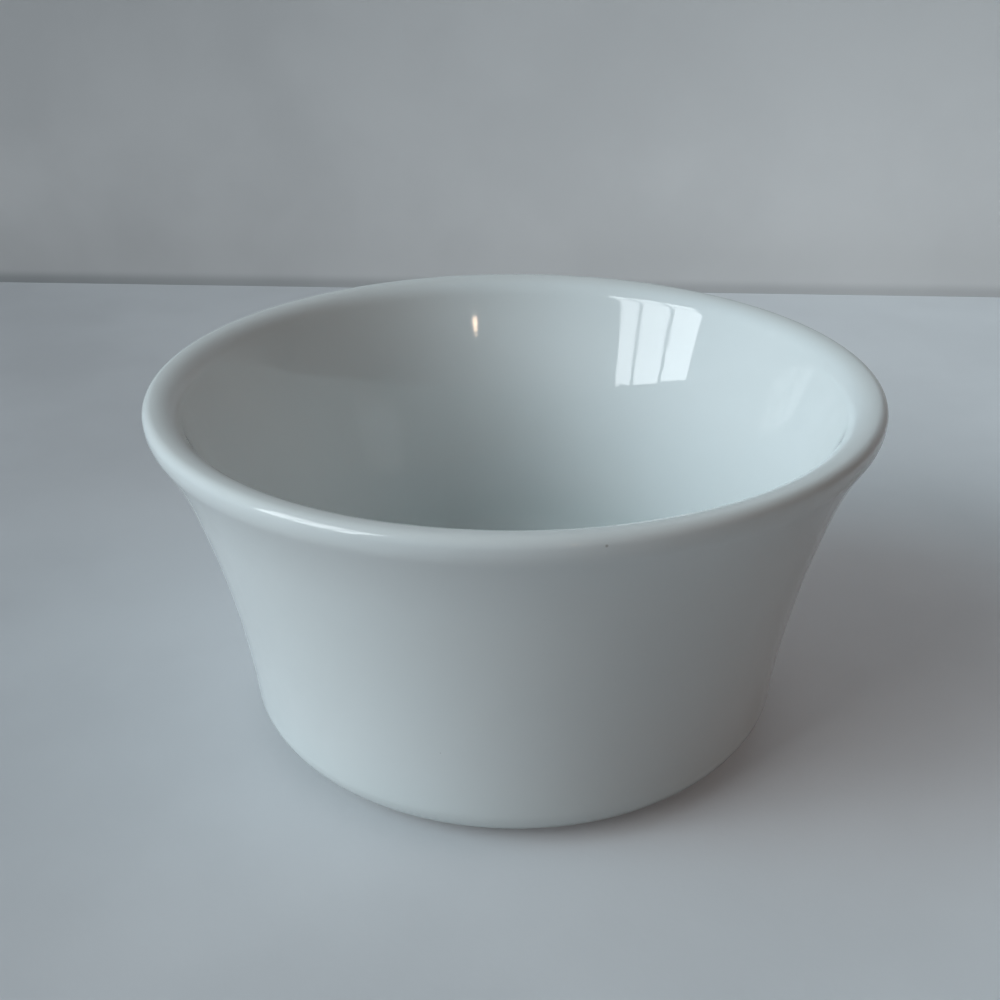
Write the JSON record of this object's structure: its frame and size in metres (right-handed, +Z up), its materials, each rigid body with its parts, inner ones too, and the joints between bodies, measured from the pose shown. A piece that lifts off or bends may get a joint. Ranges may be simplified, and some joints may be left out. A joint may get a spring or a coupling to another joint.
{
  "type": "ramekin",
  "caption": "Flared round ramekin in white glazed porcelain with a softly rolled lip, hollow-curved wall, rounded heel and a bare foot ring.",
  "frame": {"origin": "middle of the flat face of the foot ring, where the ramekin stands", "axes": "+Z up along the axis of the pot, from the foot to the mouth; X and Y are any two directions across it"},
  "size_m": [0.09, 0.09, 0.0458],
  "materials": {
    "bare_porcelain": "unglazed fired porcelain, fine grained and matt, rubbed smooth on the face it stands on",
    "white_glaze": "clear gloss glaze over white porcelain, faintly cool, with a soft ripple and a few pinholes"
  },
  "bodies": {
    "root": {"porcelain_body": "bare_porcelain", "glaze_coat": "white_glaze", "underside_glaze": "white_glaze"}
  },
  "joints": []
}
